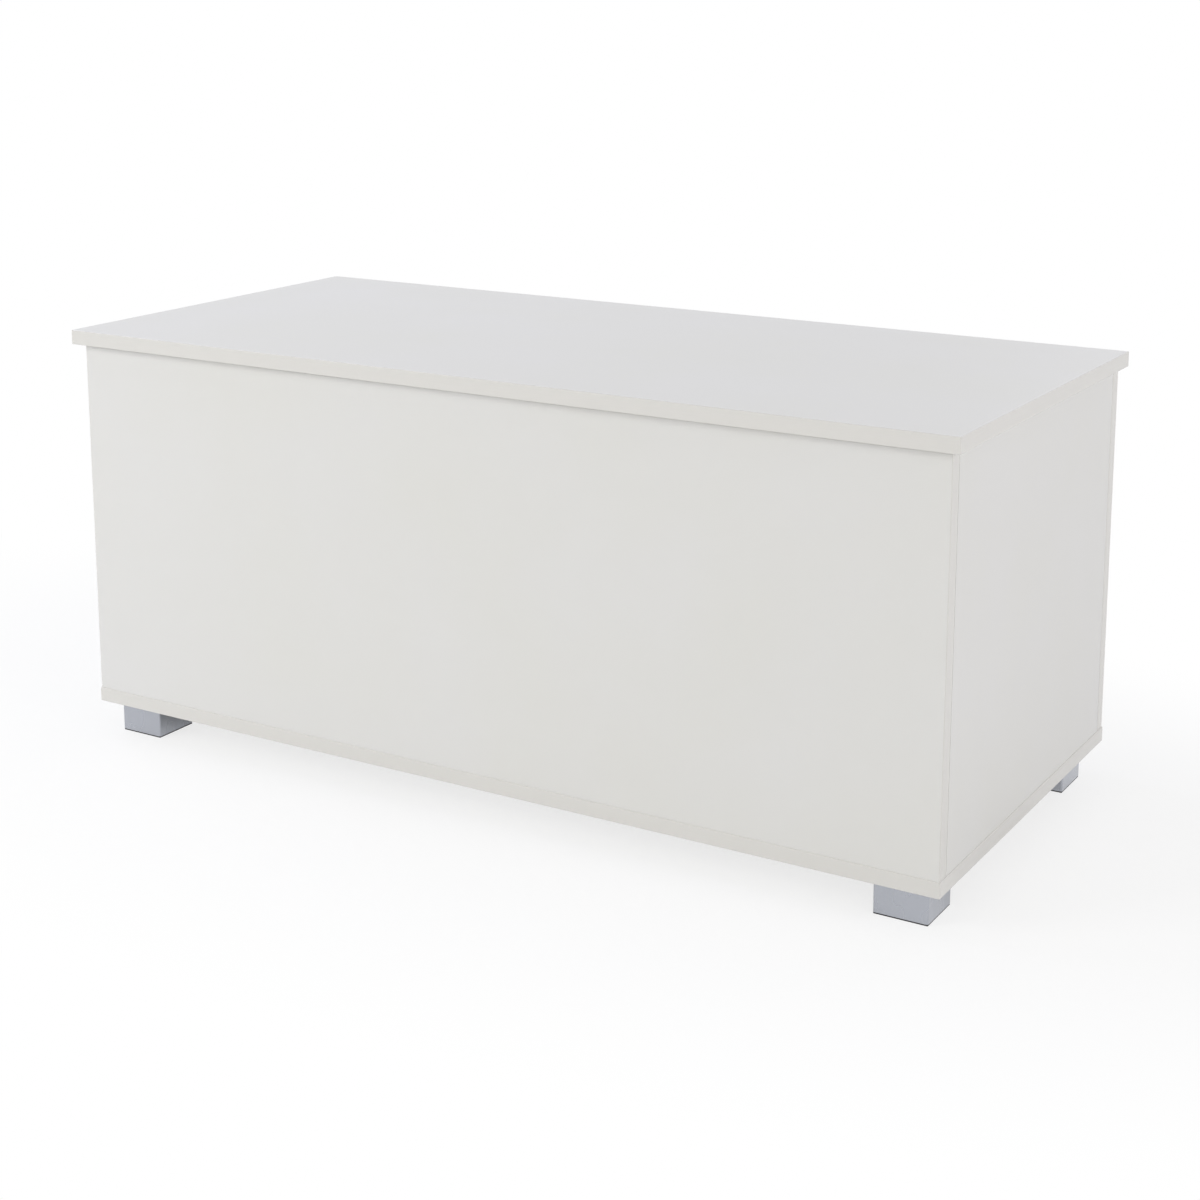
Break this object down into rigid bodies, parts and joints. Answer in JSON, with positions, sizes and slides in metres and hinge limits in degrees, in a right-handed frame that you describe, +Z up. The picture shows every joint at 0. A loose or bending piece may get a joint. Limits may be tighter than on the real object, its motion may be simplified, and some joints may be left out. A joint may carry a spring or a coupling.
{
  "type": "toy box",
  "caption": "White wooden toy box of faced board on square feet, with an overhanging lid on flush hinges held open by sliding lid stays.",
  "frame": {"origin": "on the floor, under the middle of the whole box with its hinges", "axes": "+X to the box's right as seen from the front, +Y to the back where the hinges are, +Z up"},
  "size_m": [0.98, 0.451, 0.44],
  "materials": {
    "board_white": "white melamine-faced particle board, satin",
    "edge_white": "white edge band",
    "foot_silver": "silver-lacquered moulded plastic, satin",
    "pad_black": "black rubber pad",
    "screw_zinc": "zinc-plated steel",
    "cam_zinc": "die-cast zinc",
    "bolt_steel": "turned steel",
    "cap_white": "white moulded plastic",
    "dowel_beech": "beech",
    "hinge_steel": "nickel-plated pressed steel",
    "bracket_steel": "nickel-plated pressed steel",
    "stay_black": "black painted tube, satin",
    "stay_plastic": "black moulded plastic",
    "rod_chrome": "chrome-plated ground rod",
    "bumper_clear": "clear soft bumper"
  },
  "bodies": {
    "carcass": {"front_panel": "board_white", "back_panel": "board_white", "left_side_panel": "board_white", "right_side_panel": "board_white", "base_panel": "board_white", "front_panel_edging": "edge_white", "back_panel_edging": "edge_white", "left_side_edging": "edge_white", "right_side_edging": "edge_white", "base_edging": "edge_white", "front_left_foot": "foot_silver", "front_right_foot": "foot_silver", "rear_left_foot": "foot_silver", "rear_right_foot": "foot_silver", "front_left_foot_pad": "pad_black", "front_right_foot_pad": "pad_black", "rear_left_foot_pad": "pad_black", "rear_right_foot_pad": "pad_black", "foot_screws": "screw_zinc", "base_screws": "screw_zinc", "cam_locks": "cam_zinc", "cam_bolts": "bolt_steel", "cam_caps": "cap_white", "wooden_dowels": "dowel_beech", "left_hinge_box_leaf": "hinge_steel", "right_hinge_box_leaf": "hinge_steel", "left_hinge_pin": "hinge_steel", "right_hinge_pin": "hinge_steel", "hinge_box_screws": "screw_zinc", "left_stay_box_bracket": "bracket_steel", "right_stay_box_bracket": "bracket_steel", "stay_box_screws": "screw_zinc", "lid_bumpers": "bumper_clear"},
    "lid": {"lid_panel": "board_white", "lid_edging": "edge_white", "left_hinge_lid_leaf": "hinge_steel", "right_hinge_lid_leaf": "hinge_steel", "hinge_lid_screws": "screw_zinc", "left_stay_lid_bracket": "bracket_steel", "right_stay_lid_bracket": "bracket_steel", "stay_lid_screws": "screw_zinc"},
    "left_tube": {"left_stay_tube": "stay_black", "left_stay_tube_eye": "stay_plastic", "left_stay_gland": "stay_plastic"},
    "left_rod": {"left_stay_rod": "rod_chrome", "left_stay_rod_eye": "stay_plastic", "left_stay_piston": "stay_plastic"},
    "right_tube": {"right_stay_tube": "stay_black", "right_stay_tube_eye": "stay_plastic", "right_stay_gland": "stay_plastic"},
    "right_rod": {"right_stay_rod": "rod_chrome", "right_stay_rod_eye": "stay_plastic", "right_stay_piston": "stay_plastic"}
  },
  "joints": [
    {"name": "lid_hinge", "type": "hinge", "parent": "carcass", "child": "lid", "pos_m": [0, 0.2227, 0.424], "axis": [-1, 0, 0], "range_deg": [0, 85]},
    {"name": "left_tube_pivot", "type": "hinge", "parent": "carcass", "child": "left_tube", "pos_m": [-0.449, 0.1733, 0.25612], "axis": [-1, 0, 0], "range_deg": [0, 42.5]},
    {"name": "left_rod_pivot", "type": "hinge", "parent": "lid", "child": "left_rod", "pos_m": [-0.449, 0.04805, 0.413], "axis": [-1, 0, 0], "range_deg": [-42.5, 0]},
    {"name": "right_tube_pivot", "type": "hinge", "parent": "carcass", "child": "right_tube", "pos_m": [0.449, 0.1733, 0.25612], "axis": [-1, 0, 0], "range_deg": [0, 42.5]},
    {"name": "right_rod_pivot", "type": "hinge", "parent": "lid", "child": "right_rod", "pos_m": [0.449, 0.04805, 0.413], "axis": [-1, 0, 0], "range_deg": [-42.5, 0]}
  ],
  "couplings": [
    {"joint": "left_tube_pivot", "follows": "lid_hinge", "ratio": 0.5},
    {"joint": "left_rod_pivot", "follows": "lid_hinge", "ratio": -0.5},
    {"joint": "right_tube_pivot", "follows": "lid_hinge", "ratio": 0.5},
    {"joint": "right_rod_pivot", "follows": "lid_hinge", "ratio": -0.5}
  ]
}
